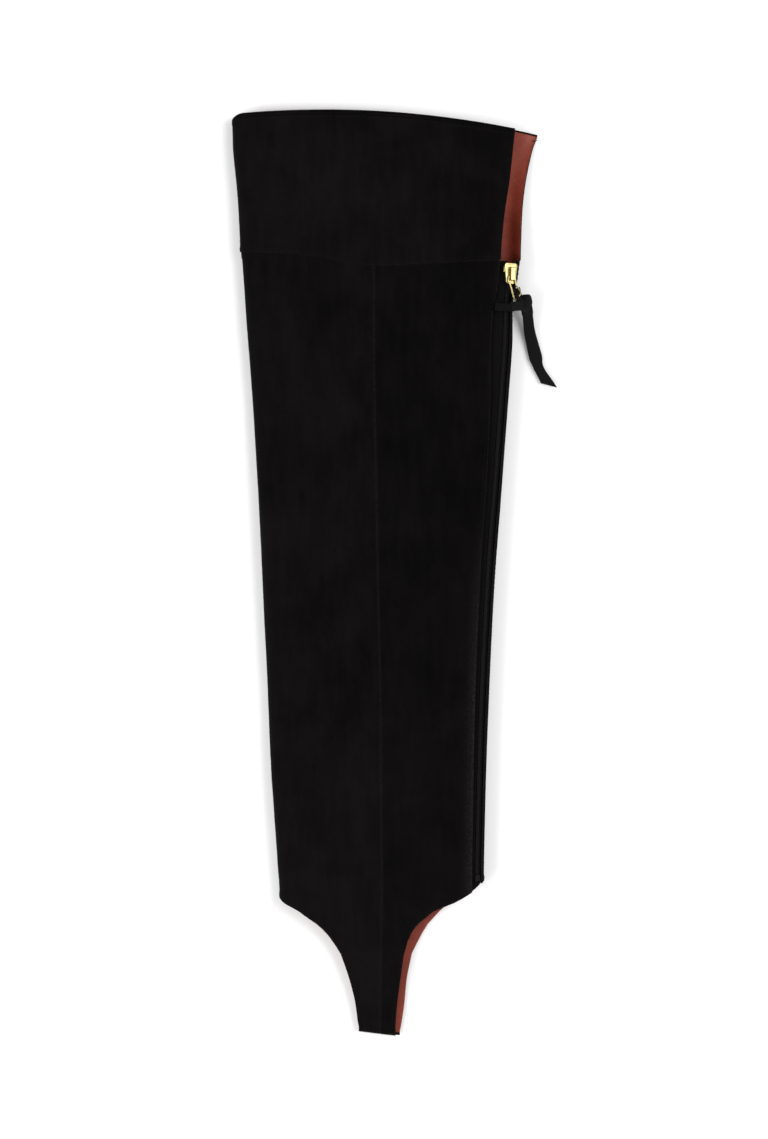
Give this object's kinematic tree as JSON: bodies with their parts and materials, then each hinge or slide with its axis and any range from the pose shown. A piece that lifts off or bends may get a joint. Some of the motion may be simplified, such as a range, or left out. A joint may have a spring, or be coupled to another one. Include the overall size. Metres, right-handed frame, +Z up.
{
  "type": "over-the-knee gaiter",
  "caption": "Over-the-knee suede gaiter laid flat, with a band, a back zip with a thong pull, a leather lining and a strap for under the foot.",
  "frame": {"origin": "centre of the garment's outline, without the thong, on the surface that it lies on", "axes": "+Y from the foot to the thigh, +X from the front of the leg to its back, +Z up from the surface, out of the near side"},
  "size_m": [0.2102, 0.6023, 0.0205],
  "materials": {
    "suede": "black suede with a soft nap",
    "lining": "smooth red-brown leather",
    "zip_tape": "black woven tape",
    "zip_chain": "black moulded coil",
    "gold": "polished pale gold plate",
    "thong": "black leather thong, matt"
  },
  "bodies": {
    "gaiter": {"front_panel": "suede", "back_panel_near": "suede", "back_panel_far": "suede", "band": "suede", "top_binding": "suede", "band_lining": "lining", "leg_lining": "lining", "zip_tape_near": "zip_tape", "zip_tape_far": "zip_tape", "zip_chain": "zip_chain", "zip_stop": "zip_chain", "zip_slider": "gold"},
    "pull": {"pull_ring": "gold", "thong_knot": "thong", "thong_end": "thong", "thong": "thong"}
  },
  "joints": [
    {"name": "pull_swing", "type": "hinge", "parent": "gaiter", "child": "pull", "pos_m": [0.08243, 0.1914, 0.0183], "axis": [-0.8831, 0.0217, 0.4687], "range_deg": [0, 120]}
  ]
}
